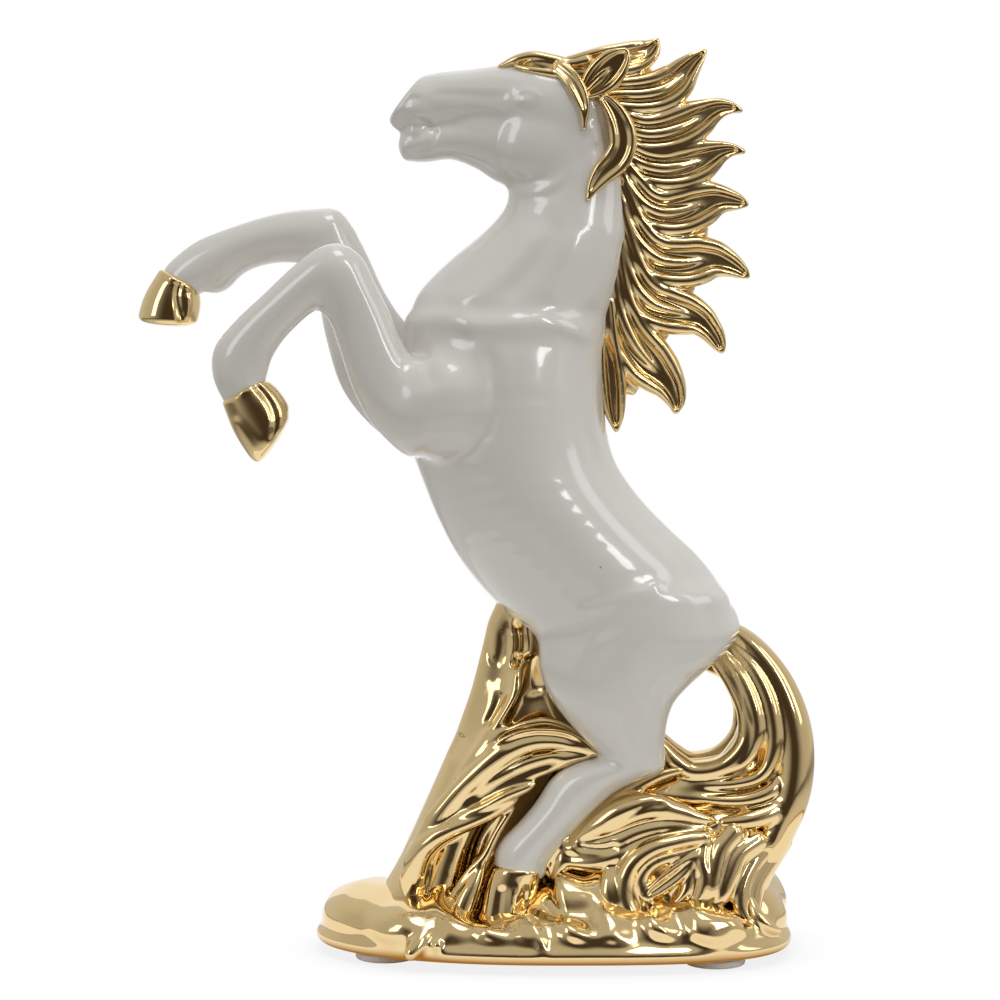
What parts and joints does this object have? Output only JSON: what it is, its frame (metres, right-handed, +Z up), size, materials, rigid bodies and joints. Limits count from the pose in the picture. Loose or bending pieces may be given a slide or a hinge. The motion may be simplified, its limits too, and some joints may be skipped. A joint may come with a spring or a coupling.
{
  "type": "animal figurine",
  "caption": "Glazed ceramic figurine of a rearing horse with gilded mane, hooves and tail on a gilded rocky base with bumper pads.",
  "frame": {"origin": "on the shelf, under the middle of the figurine's box", "axes": "+Z up, -X the way the horse faces, -Y its left side, the side that the picture shows"},
  "size_m": [0.2382, 0.093, 0.319],
  "materials": {
    "white_glaze": "glossy white glaze over a slip-cast body",
    "gold_lustre": "mirror gold lustre fired over the glaze",
    "bumper_pad": "clear grey, matt"
  },
  "bodies": {
    "root": {"torso": "white_glaze", "neck": "white_glaze", "head": "white_glaze", "left_foreleg": "white_glaze", "right_foreleg": "white_glaze", "left_hind_leg": "white_glaze", "right_hind_leg": "white_glaze", "base": "gold_lustre", "trunk": "gold_lustre", "rear_scrolls": "gold_lustre", "tail": "gold_lustre", "left_fore_hoof": "gold_lustre", "right_fore_hoof": "gold_lustre", "left_hind_hoof": "gold_lustre", "right_hind_hoof": "gold_lustre", "forelock": "gold_lustre", "mane": "gold_lustre", "left_ear": "gold_lustre", "right_ear": "gold_lustre", "left_cheek_lock": "gold_lustre", "right_cheek_lock": "gold_lustre", "front_left_pad": "bumper_pad", "front_right_pad": "bumper_pad", "rear_left_pad": "bumper_pad", "rear_right_pad": "bumper_pad"}
  },
  "joints": []
}
